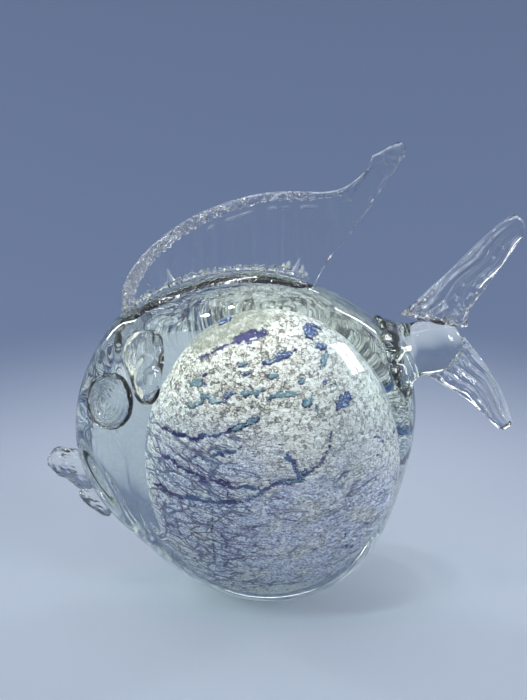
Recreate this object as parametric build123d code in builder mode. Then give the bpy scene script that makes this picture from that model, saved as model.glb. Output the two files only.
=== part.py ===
"""A hand-made glass fish: a round clear body cased over a ball of crackled silver leaf, with clear
fins, tail, lips and eyes added as hot bits of glass. It stands on a ground flat under its belly.

Millimetres. +Z is up, the head looks along -X, and the origin is the middle of the ground flat.
"""

from build123d import *
from math import cos, radians, sin
import os

os.makedirs("parts", exist_ok=True)

# Clear body
body_length = 111.5
body_height = 109.5
body_width = 64.0

# Clear glass between the silver ball and the outside
head_glass = 26.5
back_glass = 13.0
crown_glass = 15.5
belly_glass = 7.5
flank_glass = 9.0

# Silver leaf, and the colour chips picked up under it
leaf_thickness = 0.4
chip_thickness = 0.8
chip_width = 5.0

# Dorsal fin
dorsal_length = 87.5
dorsal_height = 54.0
dorsal_blade = 3.0
dorsal_rim = 3.4
dorsal_rear_rim = 2.4
dorsal_rib = 3.8
dorsal_rib_pitch = 4.6
dorsal_foot_width = 10.0
dorsal_foot_rise = 4.3

# Tail
knob_length = 28.5
knob_width = 16.4
upper_lobe_length = 47.5
upper_lobe_width = 21.5
upper_lobe_thickness = 7.0
lower_lobe_length = 38.0
lower_lobe_width = 17.5
lower_lobe_thickness = 7.0

# Lips
upper_lip_length = 18.0
upper_lip_width = 12.5
lower_lip_length = 12.5
lower_lip_width = 9.0

# Eyes
eye_width = 18.0
eye_rise = 2.4
eye_sink = 3.0
eye_ring_width = 1.3
eye_rings = 4

# Pectoral fins
pectoral_width = 13.0
pectoral_thickness = 7.0
pectoral_lift = 2.0

# Places of the bits in side view, as shares of the body's length and height
eye_place_shares = (-0.44, 0.68)
pectoral_root_shares = (-0.341, 0.875)
pectoral_tip_shares = (-0.325, 0.688)
upper_lip_root_shares = (-0.505, 0.38)
lower_lip_root_shares = (-0.465, 0.275)
knob_root_shares = (0.295, 0.745)
upper_lobe_root_shares = (0.415, 0.83)
lower_lobe_root_shares = (0.47, 0.79)
dorsal_front_shares = (-0.425, 0.845)
dorsal_foot_shares = [(-0.405, 0.852), (-0.135, 0.99), (0.112, 0.962)]

# Lean of each bit from +X towards +Z, in degrees
upper_lip_lean = 158.0
lower_lip_lean = 152.0
knob_lean = 15.0
upper_lobe_lean = 50.0
lower_lobe_lean = -47.5

# Side view of the body, as shares of its length and height, from the snout over the back
body_outline_shares = [
    (-0.57, 0.503), (-0.552, 0.661), (-0.501, 0.783), (-0.431, 0.878), (-0.32, 0.925),
    (-0.185, 0.972), (-0.045, 0.996), (0.096, 0.981), (0.224, 0.922), (0.318, 0.85),
    (0.388, 0.75), (0.421, 0.618), (0.415, 0.478), (0.386, 0.348), (0.351, 0.236),
    (0.293, 0.117), (0.208, 0.033), (0.063, -0.024), (-0.098, -0.018), (-0.198, 0.026),
    (-0.297, 0.093), (-0.38, 0.171), (-0.468, 0.264), (-0.535, 0.365),
]
swell_place_shares = (-0.025, 0.48)
section_turns = (-78, -60, -40, -20, 0, 20, 40, 60, 78)
ball_turns = range(0, 360, 30)

# Side view of the dorsal fin, as shares of its length and height from its front foot: corners of
# the top edge with the radius of each as a share of the length, and the rear edge down to the back
dorsal_top_shares = [
    (0.02, 0.0), (0.02, 0.302), (0.24, 0.624), (0.489, 0.768), (0.804, 0.768), (0.953, 1.015),
]
dorsal_radius_shares = [0.28, 0.65, 0.65, 0.23]
dorsal_tip_shares = (0.996, 1.07)
dorsal_rear_shares = [(0.985, 0.996), (0.827, 0.619), (0.621, 0.213)]

# Place along each bit with its width there, and its thickness on the flat ones, as shares
knob_shares = [(0.0, 1.75), (0.2, 1.55), (0.4, 1.24), (0.6, 1.04), (0.8, 0.94), (0.93, 0.7)]
lobe_shares = [
    (0.03, 0.5, 0.5), (0.1, 0.87, 0.85), (0.2, 1.0, 1.0), (0.33, 0.8, 0.9), (0.5, 0.62, 0.79),
    (0.7, 0.52, 0.69), (0.88, 0.43, 0.58), (0.96, 0.29, 0.42), (0.99, 0.15, 0.22),
]
lip_shares = [(0.0, 1.1), (0.3, 1.0), (0.55, 0.84), (0.75, 0.66), (0.93, 0.48)]
pectoral_shares = [
    (0.03, 0.45, 0.4), (0.12, 0.85, 0.7), (0.3, 1.0, 0.8), (0.55, 0.86, 0.85), (0.78, 0.62, 1.0),
    (0.92, 0.48, 0.9), (0.98, 0.26, 0.5),
]

# Colour chips in side view of the ball, as shares of its half length and height: place and stretch
cobalt_chip_shares = [
    (-0.28, 0.66, 2.2), (0.34, 0.6, 1.3), (0.62, 0.42, 0.9), (-0.62, -0.1, 1.8), (0.06, -0.34, 2.6),
    (-0.3, -0.62, 1.7),
]
turquoise_chip_shares = [
    (-0.34, 0.36, 1.6), (-0.12, 0.24, 2.0), (0.2, 0.34, 1.5), (0.44, 0.24, 1.0), (-0.02, 0.5, 1.2),
    (0.3, -0.1, 1.3),
]

# What follows from the sizes
snout_x = min(x_share for x_share, z_share in body_outline_shares) * body_length
ball_length = body_length - head_glass - back_glass
ball_width = body_width - 2 * flank_glass
ball_height = body_height - crown_glass - belly_glass
ball_middle = Vector(snout_x + head_glass + ball_length / 2, 0, belly_glass + ball_height / 2)


def body_point(shares):
    """A point of the middle plane, from its shares of the body's length and height."""
    return Vector(shares[0] * body_length, 0, shares[1] * body_height)


def swollen_form(outline, swell, width):
    """Loft a form across its width through side views that shrink from the swell to each flank."""
    rings = []
    for turn in section_turns:
        shrink = cos(radians(turn))
        points = [swell + (point - swell) * shrink for point in outline]
        with BuildSketch(Plane.XZ.offset(width / 2 * sin(radians(turn)))) as ring:
            with BuildLine():
                Spline([(point.X, point.Z) for point in points], periodic=True)
            make_face()
        rings.append(ring.sketch)
    flank = Vector(0, width / 2, 0)
    loft(sections=[Vertex(*(swell + flank)), *rings, Vertex(*(swell - flank))])


def silver_ball(inset):
    """The outside of the silver, or the same ball drawn in from it."""
    reach = Vector(ball_length / 2 - inset, 0, ball_height / 2 - inset)
    outline = [
        ball_middle + Vector(reach.X * cos(radians(turn)), 0, reach.Z * sin(radians(turn)))
        for turn in ball_turns
    ]
    with BuildPart() as ball:
        swollen_form(outline, ball_middle, ball_width - 2 * inset)
    return ball.part


def pulled_bit(root, way, length, width, thickness, shares, across=(0, 1, 0)):
    """Loft a flat bit of glass through ellipses along a way from its root, with rounded ends."""
    run = Vector(way).normalized()
    rings = []
    for place, width_share, thickness_share in shares:
        plane = Plane(origin=root + run * (place * length), x_dir=across, z_dir=run)
        with BuildSketch(plane) as ring:
            Ellipse(thickness / 2 * thickness_share, width / 2 * width_share)
        rings.append(ring.sketch)
    loft(sections=[Vertex(*root), *rings, Vertex(*(root + run * length))])


def turned_bit(root, way, length, width, shares):
    """Turn a round bit of glass about a way in the middle plane, with a rounded tip."""
    with BuildSketch(Plane(origin=root, x_dir=way, z_dir=(0, -1, 0))) as half:
        with BuildLine():
            points = [(place * length, width / 2 * width_share) for place, width_share in shares]
            side = Spline([*points, (length, 0)], tangents=[(1, 0), (0, -1)])
            Polyline(side @ 1, (0, 0), side @ 0)
        make_face()
    revolve(half.sketch, axis=Axis(root, way))


def leaning(lean):
    """The way in the middle plane that leans this many degrees from +X towards +Z."""
    return Vector(cos(radians(lean)), 0, sin(radians(lean)))


def flank_seat(shares):
    """The point on the near flank at a place in side view, and the way out of the glass there."""
    hits = body.part.find_intersection_points(Axis(body_point(shares), (0, -1, 0)))
    return min(hits, key=lambda hit: hit[0].Y)


def colour_chips(places, side):
    """Cut flat chips out of the skin under the leaf, on the near side (-1) or the far side (1)."""
    with BuildSketch(Plane.XZ) as outlines:
        for x_share, z_share, stretch_share in places:
            chip_x = ball_middle.X - side * x_share * ball_length / 2
            with Locations((chip_x, ball_middle.Z + z_share * ball_height / 2)):
                Ellipse(chip_width / 2 * stretch_share, chip_width / 2)
    extrude(outlines.sketch, amount=-side * ball_width)


# Outside of the whole body, which every added bit is cut to, as two mirrored halves
body_outline = [body_point(shares) for shares in body_outline_shares]
with BuildPart() as near_half:
    swollen_form(body_outline, body_point(swell_place_shares), body_width)
    split(bisect_by=Plane.XY, keep=Keep.TOP)
    split(bisect_by=Plane.XZ, keep=Keep.TOP)
with BuildPart() as body:
    add(near_half.part)
    add(near_half.part.mirror(Plane.XZ), clean=False)

# Clear casing over the ball
with BuildPart() as clear_casing:
    add(body.part, clean=False)
    add(silver_ball(0), mode=Mode.SUBTRACT, clean=False)
clear_casing.part.label = "clear_casing"
export_step(clear_casing.part, "parts/clear_casing.step")

# Silver leaf
with BuildPart() as silver_leaf:
    add(silver_ball(0))
    add(silver_ball(leaf_thickness), mode=Mode.SUBTRACT)
silver_leaf.part.label = "silver_leaf"
export_step(silver_leaf.part, "parts/silver_leaf.step")

# Cobalt chips, on both sides of the ball
with BuildPart() as cobalt_chips:
    colour_chips(cobalt_chip_shares, -1)
    colour_chips(cobalt_chip_shares, 1)
    add(silver_ball(leaf_thickness), mode=Mode.INTERSECT)
    add(silver_ball(leaf_thickness + chip_thickness), mode=Mode.SUBTRACT)
cobalt_chips.part.label = "cobalt_chips"
export_step(cobalt_chips.part, "parts/cobalt_chips.step")

# Turquoise chips, on both sides of the ball
with BuildPart() as turquoise_chips:
    colour_chips(turquoise_chip_shares, -1)
    colour_chips(turquoise_chip_shares, 1)
    add(silver_ball(leaf_thickness), mode=Mode.INTERSECT)
    add(silver_ball(leaf_thickness + chip_thickness), mode=Mode.SUBTRACT)
    add(cobalt_chips.part, mode=Mode.SUBTRACT)
turquoise_chips.part.label = "turquoise_chips"
export_step(turquoise_chips.part, "parts/turquoise_chips.step")

# Colour core that the chips are melted into
with BuildPart() as colour_core:
    add(silver_ball(leaf_thickness))
    add(cobalt_chips.part, mode=Mode.SUBTRACT)
    add(turquoise_chips.part, mode=Mode.SUBTRACT)
colour_core.part.label = "colour_core"
export_step(colour_core.part, "parts/colour_core.step")


def dorsal_point(shares):
    """A point of the fin in side view, from its shares of the fin's length and height."""
    front = body_point(dorsal_front_shares)
    return (front.X + shares[0] * dorsal_length, front.Z + shares[1] * dorsal_height)


# Dorsal fin: a ribbed blade, a rolled rim, a rounded rear edge and a foot along the back
with BuildPart() as dorsal_fin:
    with BuildSketch(Plane.XZ) as blade:
        with BuildLine():
            top_edge = FilletPolyline(
                *[dorsal_point(shares) for shares in dorsal_top_shares],
                radius=[share * dorsal_length for share in dorsal_radius_shares],
            )
            tip = dorsal_point(dorsal_tip_shares)
            ThreePointArc(top_edge @ 1, tip, dorsal_point(dorsal_rear_shares[0]))
            rear_edge = ThreePointArc(*[dorsal_point(shares) for shares in dorsal_rear_shares])
            Line(rear_edge @ 1, top_edge @ 0)
        make_face()
    extrude(amount=dorsal_rib / 2, both=True)
    fin_middle = (body_point(dorsal_front_shares).X + dorsal_length / 2, 0)
    with BuildSketch(Plane.XY):
        with Locations(fin_middle):
            Rectangle(2 * dorsal_length, dorsal_blade)
            with GridLocations(dorsal_rib_pitch, 0, int(dorsal_length / dorsal_rib_pitch), 1):
                Circle(dorsal_rib / 2)
    extrude(amount=body_height + dorsal_height, mode=Mode.INTERSECT)
    for rim_path, rim_width in ((top_edge, dorsal_rim), (rear_edge, dorsal_rear_rim)):
        path = Plane.XZ * Wire(rim_path.edges())
        with BuildSketch(Plane(origin=path @ 0, z_dir=path % 0)) as rim:
            Circle(rim_width / 2)
        sweep(rim.sketch, path=path)
        with Locations(path @ 0, path @ 1):
            Sphere(rim_width / 2)
    foot_path = Edge.make_three_point_arc(*[body_point(shares) for shares in dorsal_foot_shares])
    with BuildSketch(Plane(origin=foot_path @ 0, x_dir=(0, 1, 0), z_dir=foot_path % 0)) as foot:
        Ellipse(dorsal_foot_width / 2, dorsal_foot_rise)
    sweep(foot.sketch, path=foot_path)
    add(body.part, mode=Mode.SUBTRACT)
dorsal_fin.part.label = "dorsal_fin"
export_step(dorsal_fin.part, "parts/dorsal_fin.step")

# Tail knob
with BuildPart() as tail_knob:
    knob_root = body_point(knob_root_shares)
    turned_bit(knob_root, leaning(knob_lean), knob_length, knob_width, knob_shares)
    add(body.part, mode=Mode.SUBTRACT)
tail_knob.part.label = "tail_knob"
export_step(tail_knob.part, "parts/tail_knob.step")

# Upper tail lobe
with BuildPart() as upper_tail_lobe:
    pulled_bit(
        body_point(upper_lobe_root_shares), leaning(upper_lobe_lean), upper_lobe_length,
        upper_lobe_width, upper_lobe_thickness, lobe_shares,
    )
    add(body.part, mode=Mode.SUBTRACT)
    add(tail_knob.part, mode=Mode.SUBTRACT)
upper_tail_lobe.part.label = "upper_tail_lobe"
export_step(upper_tail_lobe.part, "parts/upper_tail_lobe.step")

# Lower tail lobe
with BuildPart() as lower_tail_lobe:
    pulled_bit(
        body_point(lower_lobe_root_shares), leaning(lower_lobe_lean), lower_lobe_length,
        lower_lobe_width, lower_lobe_thickness, lobe_shares,
    )
    add(body.part, mode=Mode.SUBTRACT)
    add(tail_knob.part, mode=Mode.SUBTRACT)
    add(upper_tail_lobe.part, mode=Mode.SUBTRACT)
lower_tail_lobe.part.label = "lower_tail_lobe"
export_step(lower_tail_lobe.part, "parts/lower_tail_lobe.step")

# Upper lip
with BuildPart() as upper_lip:
    upper_lip_root = body_point(upper_lip_root_shares)
    turned_bit(upper_lip_root, leaning(upper_lip_lean), upper_lip_length, upper_lip_width, lip_shares)
    add(body.part, mode=Mode.SUBTRACT)
upper_lip.part.label = "upper_lip"
export_step(upper_lip.part, "parts/upper_lip.step")

# Lower lip
with BuildPart() as lower_lip:
    lower_lip_root = body_point(lower_lip_root_shares)
    turned_bit(lower_lip_root, leaning(lower_lip_lean), lower_lip_length, lower_lip_width, lip_shares)
    add(body.part, mode=Mode.SUBTRACT)
    add(upper_lip.part, mode=Mode.SUBTRACT)
lower_lip.part.label = "lower_lip"
export_step(lower_lip.part, "parts/lower_lip.step")

# Left eye: a domed prunt with rings pressed in
with BuildPart() as left_eye:
    eye_seat, eye_way = flank_seat(eye_place_shares)
    with BuildSketch(Plane(origin=eye_seat - eye_way * eye_sink, z_dir=eye_way)) as prunt:
        Circle(eye_width / 2)
    extrude(prunt.sketch, amount=eye_sink + eye_rise)
    fillet(left_eye.faces().sort_by(Axis(eye_seat, eye_way))[-1].edges(), radius=eye_rise * 0.6)
    ring_plane = Plane(origin=eye_seat + eye_way * eye_rise, z_dir=eye_way)
    ring_pitch = eye_width / 2 / (eye_rings + 1)
    for ring in range(eye_rings):
        with Locations(Location(ring_plane)):
            Torus(ring_pitch * (ring + 1), eye_ring_width / 2, mode=Mode.SUBTRACT)
    add(body.part, mode=Mode.SUBTRACT)
left_eye.part.label = "left_eye"
export_step(left_eye.part, "parts/left_eye.step")

# Left pectoral fin, draped down the flank
with BuildPart() as left_pectoral_fin:
    pectoral_root, root_way = flank_seat(pectoral_root_shares)
    pectoral_tip, tip_way = flank_seat(pectoral_tip_shares)
    pectoral_run = pectoral_tip - pectoral_root
    flank_way = pectoral_run.cross((root_way + tip_way).cross(pectoral_run)).normalized()
    pulled_bit(
        pectoral_root + flank_way * pectoral_lift, pectoral_run, pectoral_run.length,
        pectoral_width, pectoral_thickness, pectoral_shares, across=flank_way,
    )
    add(body.part, mode=Mode.SUBTRACT)
left_pectoral_fin.part.label = "left_pectoral_fin"
export_step(left_pectoral_fin.part, "parts/left_pectoral_fin.step")

# Right eye and right pectoral fin, mirrored to the far flank
with BuildPart() as right_eye:
    mirror(left_eye.part, about=Plane.XZ)
right_eye.part.label = "right_eye"
export_step(right_eye.part, "parts/right_eye.step")

with BuildPart() as right_pectoral_fin:
    mirror(left_pectoral_fin.part, about=Plane.XZ)
right_pectoral_fin.part.label = "right_pectoral_fin"
export_step(right_pectoral_fin.part, "parts/right_pectoral_fin.step")
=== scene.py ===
"""A hand-made glass fish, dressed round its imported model: clear glass cased over a ball of crackled
silver leaf, with fins, tail, lips and eyes put on as bits of hot glass. Metres, +Z up, head to -X.
"""

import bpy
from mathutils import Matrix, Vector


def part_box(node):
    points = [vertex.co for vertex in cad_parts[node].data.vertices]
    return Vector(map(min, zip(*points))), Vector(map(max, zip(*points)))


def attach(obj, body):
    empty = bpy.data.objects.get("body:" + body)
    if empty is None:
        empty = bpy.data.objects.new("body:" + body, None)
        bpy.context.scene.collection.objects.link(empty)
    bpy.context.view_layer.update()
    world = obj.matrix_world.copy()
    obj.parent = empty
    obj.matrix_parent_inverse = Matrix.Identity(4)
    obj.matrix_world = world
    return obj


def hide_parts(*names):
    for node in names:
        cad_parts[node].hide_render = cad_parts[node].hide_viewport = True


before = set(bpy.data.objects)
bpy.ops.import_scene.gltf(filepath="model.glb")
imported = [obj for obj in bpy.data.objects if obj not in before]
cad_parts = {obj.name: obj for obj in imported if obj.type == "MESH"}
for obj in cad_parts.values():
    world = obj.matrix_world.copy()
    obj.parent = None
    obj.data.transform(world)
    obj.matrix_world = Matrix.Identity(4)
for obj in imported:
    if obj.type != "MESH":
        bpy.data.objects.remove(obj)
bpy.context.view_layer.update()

from math import cos, pi, radians, sin

import bmesh
import bpy
import numpy as np
from mathutils import Matrix, Vector, noise

MM = 0.001

# Colour core
# The gather of dense violet glass that carries the silver, streaked, with silver dust stuck to it.
# The leaf hides it, and its colours come back in the leaf's tears and cracks.
violet_deep = (0.022, 0.018, 0.12, 1)
violet_pale = (0.06, 0.055, 0.21, 1)
silver_dust = (0.56, 0.62, 0.68, 1)
streak_size = 3.0 * MM
streak_stretch, streak_edge = (1, 1, 2.2), (0.3, 0.7)
dust_size, dust_patch = 0.8 * MM, 3.0 * MM
dust_stretch, dust_edge = (1, 1, 1.6), (0.67, 0.79)
dense_roughness = 0.12
dense_coat = 0.5


class Glaze:
    """A value, a colour or a place in a finish. Sums and products of it become Math nodes."""

    def __init__(self, tree, socket):
        self.tree = tree
        self.socket = socket

    def node(self, kind, sockets=(), out=0, stops=None, **settings):
        """Add a node of a kind, with its settings first and then its sockets' values or links."""
        made = self.tree.nodes.new(kind)
        for name, value in settings.items():
            setattr(made, name, value)
        if stops:
            ramp = made.color_ramp.elements
            while len(ramp) < len(stops):
                ramp.new(0.5)
            for element, (place, shade) in zip(ramp, stops):
                element.position = place
                element.color = shade
        for name, value in dict(sockets).items():
            if isinstance(value, Glaze):
                self.tree.links.new(value.socket, made.inputs[name])
            else:
                made.inputs[name].default_value = value
        return Glaze(self.tree, made.outputs[out])

    def math(self, operation, first, second=0.0):
        """One Math node on two values."""
        return self.node("ShaderNodeMath", {0: first, 1: second}, operation=operation)

    def __add__(self, other):
        return self.math("ADD", self, other)

    def __sub__(self, other):
        return self.math("SUBTRACT", self, other)

    def __mul__(self, other):
        return self.math("MULTIPLY", self, other)

    __radd__ = __add__
    __rmul__ = __mul__

    def __rsub__(self, other):
        return self.math("SUBTRACT", other, self)

    def step(self, low, high):
        """Rise smoothly from 0 at low to 1 at high."""
        sockets = {"Value": self, "From Min": low, "From Max": high}
        return self.node("ShaderNodeMapRange", sockets, interpolation_type="SMOOTHSTEP")

    def tint(self, first, second):
        """The first colour where this is 0 and the second where it is 1."""
        return self.node("ShaderNodeMix", {0: self, 6: first, 7: second}, out=2, data_type="RGBA")

    def axes(self):
        """The three numbers of a place or a colour."""
        split = self.node("ShaderNodeSeparateXYZ", {"Vector": self})
        return [Glaze(self.tree, socket) for socket in split.socket.node.outputs]

    def ripple(self, stretch, size, detail=2.0, rough=0.5, warp=0.0):
        """Noise of about this size, on a place that is first stretched along its axes."""
        place = self.node("ShaderNodeMapping", {"Vector": self, "Scale": stretch})
        sockets = {"Vector": place, "Scale": 1 / size, "Detail": detail, "Roughness": rough}
        return self.node("ShaderNodeTexNoise", {**sockets, "Distortion": warp})


def finish(name):
    """Start a finish: its material, its Principled shader and the object's own place."""
    material = bpy.data.materials.new(name)
    material.use_nodes = True
    shader = material.node_tree.nodes["Principled BSDF"]
    start = Glaze(material.node_tree, None)
    return material, shader, start.node("ShaderNodeTexCoord", out="Object")


def feed(shader, name, value):
    """Link a value to one of a shader's sockets."""
    value.tree.links.new(value.socket, shader.inputs[name])


def dense_glass(name, deep, pale):
    """Coloured glass so thick that it looks opaque, streaked, with silver dust stuck to it."""
    material, shader, place = finish(name)
    streaks = place.ripple(streak_stretch, streak_size, detail=4, warp=0.8).step(*streak_edge)
    dust = place.ripple(dust_stretch, dust_size, detail=3, rough=0.7)
    dust = (dust + place.ripple((1, 1, 1), dust_patch) * 0.3).step(*dust_edge)
    feed(shader, "Base Color", dust.tint(streaks.tint(deep, pale), silver_dust))
    shader.inputs["Roughness"].default_value = dense_roughness
    shader.inputs["Coat Weight"].default_value = dense_coat
    return material


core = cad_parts["colour_core"]
core.data.materials.clear()
core.data.materials.append(dense_glass("violet_glass", violet_deep, violet_pale))

# Silver leaf
# Real silver leaf, rolled onto the hot gather and torn into plates and slivers as the glass was
# blown out. It lies sealed under the casing, crumpled, with the coloured glass in its cracks.
leaf_low, leaf_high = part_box("silver_leaf")
leaf_middle = (leaf_low + leaf_high) / 2
leaf_reach = (leaf_high - leaf_low) / 2
leaf_cuts = 62
leaf_stretch = (1, 1, 1.8)
leaf_crumple = 0.22 * MM
tear_depth = 0.12 * MM
tear_fade = 1.6 * MM
most_torn = 2

# Layers of crumples, here and below: the height of the bumps, their size, and a seed
leaf_crumples = [(leaf_crumple, 1.6 * MM, 1), (0.6 * leaf_crumple, 4.5 * MM, 2)]
tear_sways = [(1.2 * MM, 4.0 * MM, 75), (0.7 * MM, 1.7 * MM, 76)]
tear_frays = [(0.35, 2.6 * MM, 77)]

# Long tears as the ball is seen from a little above its flank, as shares of its half length and
# height, with the strength of each
seen_drop_share = 0.17
tear_shares = [
    (1.0, [(-0.86, 0.03), (-0.7, -0.06), (-0.55, -0.13), (-0.43, -0.18), (-0.24, -0.21),
           (-0.09, -0.2)]),
    (1.0, [(-0.92, -0.18), (-0.77, -0.26), (-0.59, -0.29), (-0.43, -0.33), (-0.26, -0.32),
           (-0.09, -0.28), (0.03, -0.18), (0.21, -0.17), (0.28, -0.14), (0.22, -0.04),
           (0.14, 0.04)]),
    (0.7, [(-0.59, -0.04), (-0.51, -0.18), (-0.46, -0.34), (-0.46, -0.58), (-0.44, -0.75)]),
    (0.8, [(0.28, -0.14), (0.4, -0.06), (0.5, 0.08), (0.52, 0.2)]),
    (1.0, [(-0.86, 0.22), (-0.75, 0.18), (-0.63, 0.15), (-0.5, 0.17), (-0.36, 0.19)]),
    (1.0, [(-0.36, 0.19), (-0.22, 0.24), (-0.09, 0.28)]),
    (0.8, [(-0.63, 0.02), (-0.5, 0.0), (-0.36, 0.06), (-0.22, 0.08)]),
    (0.9, [(-0.55, 0.72), (-0.35, 0.80), (-0.24, 0.845), (-0.02, 0.915)]),
    (1.3, [(-0.24, 0.845), (-0.05, 0.89)]),
    (1.65, [(-0.16, 0.858), (-0.10, 0.872)]),
]

# The finish: its patterns and colours, and the silver from dark to bright grains and painted glints
big_plate, small_plate, grey_plate, fine_plate = 5.5 * MM, 2.7 * MM, 1.9 * MM, 1.1 * MM
grain_size = 0.62 * MM
flake_size = 0.7 * MM
granule_size = 1.15 * MM
granule_shake, granule_shake_size = 1.1 * MM, 0.8 * MM
pit_patch = 1.6 * MM
speck_size = 1.5 * MM
warm_patch = 13 * MM
crack_streak, cobalt_patch = 6 * MM, 11 * MM
uneven_size = 9 * MM
tear_edge_size = 1.4 * MM
relief_depth = 0.25 * MM
cobalt_pale = (0.06, 0.13, 0.31, 1)
# A darker tan band along the crown of the ball
crown_tan = (0.31, 0.32, 0.28, 1)
# Painted shade over the upper rear of the ball, where the window lamp shines on it
painted_rear_shade = (0.33, 0.40, 0.5, 1)
grey_crack = (0.14, 0.16, 0.24, 1)
fine_crack = (0.13, 0.13, 0.22, 1)
dark_speck = (0.03, 0.045, 0.09, 1)
# Painted highlight along the head end of the ball
front_highlight = (1.0, 1.0, 0.98, 1)
# Painted highlight along the bottom of the ball
foot_highlight = (1.0, 0.99, 0.95, 1)
# A shaded copy of the silver for the lower part: painted shade with a painted blue reflection
shaded_silver = [
    (0.0, (0.085, 0.09, 0.165, 1)), (0.25, (0.33, 0.375, 0.57, 1)),
    (0.55, (0.61, 0.67, 0.97, 1)), (0.82, (0.98, 0.98, 1.0, 1)),
]
# A warm lit copy of the silver for the top of the ball: painted light
lit_silver = [
    (0.0, (0.13, 0.12, 0.13, 1)), (0.16, (0.46, 0.43, 0.38, 1)),
    (0.36, (0.82, 0.80, 0.75, 1)), (0.62, (1.0, 1.0, 0.99, 1)),
]


def new_ball(name):
    """A ball of even square faces, whose vertices are still to be put in their places."""
    bpy.ops.object.select_all(action="DESELECT")
    bpy.ops.mesh.primitive_cube_add(size=2)
    ball = bpy.context.object
    ball.name = name
    bpy.ops.object.mode_set(mode="EDIT")
    bpy.ops.mesh.subdivide(number_cuts=leaf_cuts)
    bpy.ops.mesh.subdivide(number_cuts=1)
    bpy.ops.transform.tosphere(value=1)
    bpy.ops.object.mode_set(mode="OBJECT")
    return ball


def vertex_places(piece):
    """The places of a piece's vertices, one row each."""
    places = np.empty(len(piece.data.vertices) * 3, dtype=np.float32)
    piece.data.vertices.foreach_get("co", places)
    return places.reshape(-1, 3).astype(float)


def put_vertices(piece, places):
    """Move a piece's vertices to new places."""
    piece.data.vertices.foreach_set("co", places.astype(np.float32).ravel())
    piece.data.update()


def crumple(places, layers):
    """Smooth random heights over places, summed over the layers."""
    total = np.zeros(len(places))
    for height, size, seed in layers:
        shift = Vector((seed * 7.1, seed * 3.3, seed * 5.7))
        total += height * np.array([noise.noise(Vector(place) / size + shift) for place in places])
    return total


def leaf_tears(along, up):
    """How torn the leaf is at each place of the side view, from 0 to its strength."""
    torn = np.zeros(len(along))
    for strength, chain in tear_shares:
        for (x0, z0), (x1, z1) in zip(chain, chain[1:]):
            run_x, run_z = x1 - x0, z1 - z0
            on_run = ((along - x0) * run_x + (up - z0) * run_z) / (run_x**2 + run_z**2)
            on_run = np.clip(on_run, 0, 1)
            off_x = (along - x0 - on_run * run_x) * leaf_reach.x
            off_z = (up - z0 - on_run * run_z) * leaf_reach.z
            away = np.sqrt(off_x**2 + off_z**2)
            torn = np.maximum(torn, np.clip(strength - away / tear_fade, 0, most_torn))
    return torn


leaf = new_ball("crackled_silver_leaf")
ball_ways = vertex_places(leaf)
ball_ways /= np.linalg.norm(ball_ways, axis=1)[:, None]
ball_places = ball_ways * np.array(leaf_reach)
seen_along = ball_ways[:, 0] * np.where(ball_ways[:, 1] < 0, 1.0, -1.0)
seen_up = ball_ways[:, 2] - seen_drop_share * np.abs(ball_ways[:, 1])
torn = leaf_tears(seen_along, seen_up + crumple(ball_places, tear_sways) / leaf_reach.z)
torn = np.clip(torn * (1.05 + crumple(ball_places, tear_frays)), 0, most_torn)
lift = crumple(ball_places * leaf_stretch, leaf_crumples) - leaf_crumple
lift -= tear_depth * np.clip(torn, 0, 1)
put_vertices(leaf, ball_places + ball_ways * lift[:, None] + np.array(leaf_middle))
tear_mark = leaf.data.attributes.new("torn", "FLOAT", "POINT")
tear_mark.data.foreach_set("value", torn.astype(np.float32))
bpy.ops.object.shade_smooth()

leaf_finish, leaf_shader, leaf_place = finish("silver_leaf")
leaf_x, leaf_y, leaf_z = leaf_place.axes()


def up_leaf(value, low, high):
    """Rise from 0 to 1 between two heights, given as shares of the ball's half height."""
    return value.step(leaf_middle.z + low * leaf_reach.z, leaf_middle.z + high * leaf_reach.z)


def back_leaf(value, low, high):
    """Rise from 0 to 1 between two places towards the tail, as shares of the half length."""
    return value.step(leaf_middle.x + low * leaf_reach.x, leaf_middle.x + high * leaf_reach.x)


def stray(size, swing):
    """A length that strays to both sides of zero over the leaf."""
    return (leaf_place.ripple((1, 1, 1), size) - 0.5) * swing


# Where the top of the ball takes the lit copy of the silver over the shaded one: painted light
upper = up_leaf(leaf_z + leaf_x * 0.2 + stray(20 * MM, 16 * MM), -0.15, 0.6)
top_strip = up_leaf(leaf_z - leaf_x * 0.4 + stray(8 * MM, 6 * MM), 0.95, 1.02)
# The bottom rim of the ball, which takes a painted highlight
low_rim = 1 - up_leaf(leaf_z, -0.95, -0.84)
rear = back_leaf(leaf_x, -0.1, 0.8)
fore = 1 - back_leaf(leaf_x, -0.75, 0.25)
# The head end of the ball, which takes a painted highlight
front_rim = 1 - back_leaf(leaf_x, -0.95, -0.85)

# The leaf stretched along arcs that hang from a point above the crown, so its cracks follow them
hang_height = leaf_high.z + 12 * MM
hang_drop = leaf_z - hang_height
hang = leaf_place.math("SQRT", leaf_x * leaf_x + hang_drop * hang_drop)
hung_place = leaf_place.node(
    "ShaderNodeCombineXYZ", {"X": leaf_x * 0.4, "Y": leaf_y * 0.4, "Z": hang * 1.4}
)


def shaken(place, size, swing):
    """A place that is shifted at random, in bumps of this size."""
    sockets = {"Vector": leaf_place, "Scale": 1 / size, "Detail": 3.0}
    shift = leaf_place.node("ShaderNodeTexNoise", sockets, out="Color")
    swings = {0: shift, 1: (swing, swing, swing)}
    shift = leaf_place.node("ShaderNodeVectorMath", swings, operation="MULTIPLY")
    return leaf_place.node("ShaderNodeVectorMath", {0: place, 1: shift}, operation="ADD")


def plate_edges(place, size, width):
    """1 along the edges between plates of about this size, fading to 0 on the plates."""
    sockets = {"Vector": place, "Scale": 1 / size}
    edge = leaf_place.node("ShaderNodeTexVoronoi", sockets, feature="DISTANCE_TO_EDGE")
    return 1 - edge.step(0.0, width)


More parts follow.
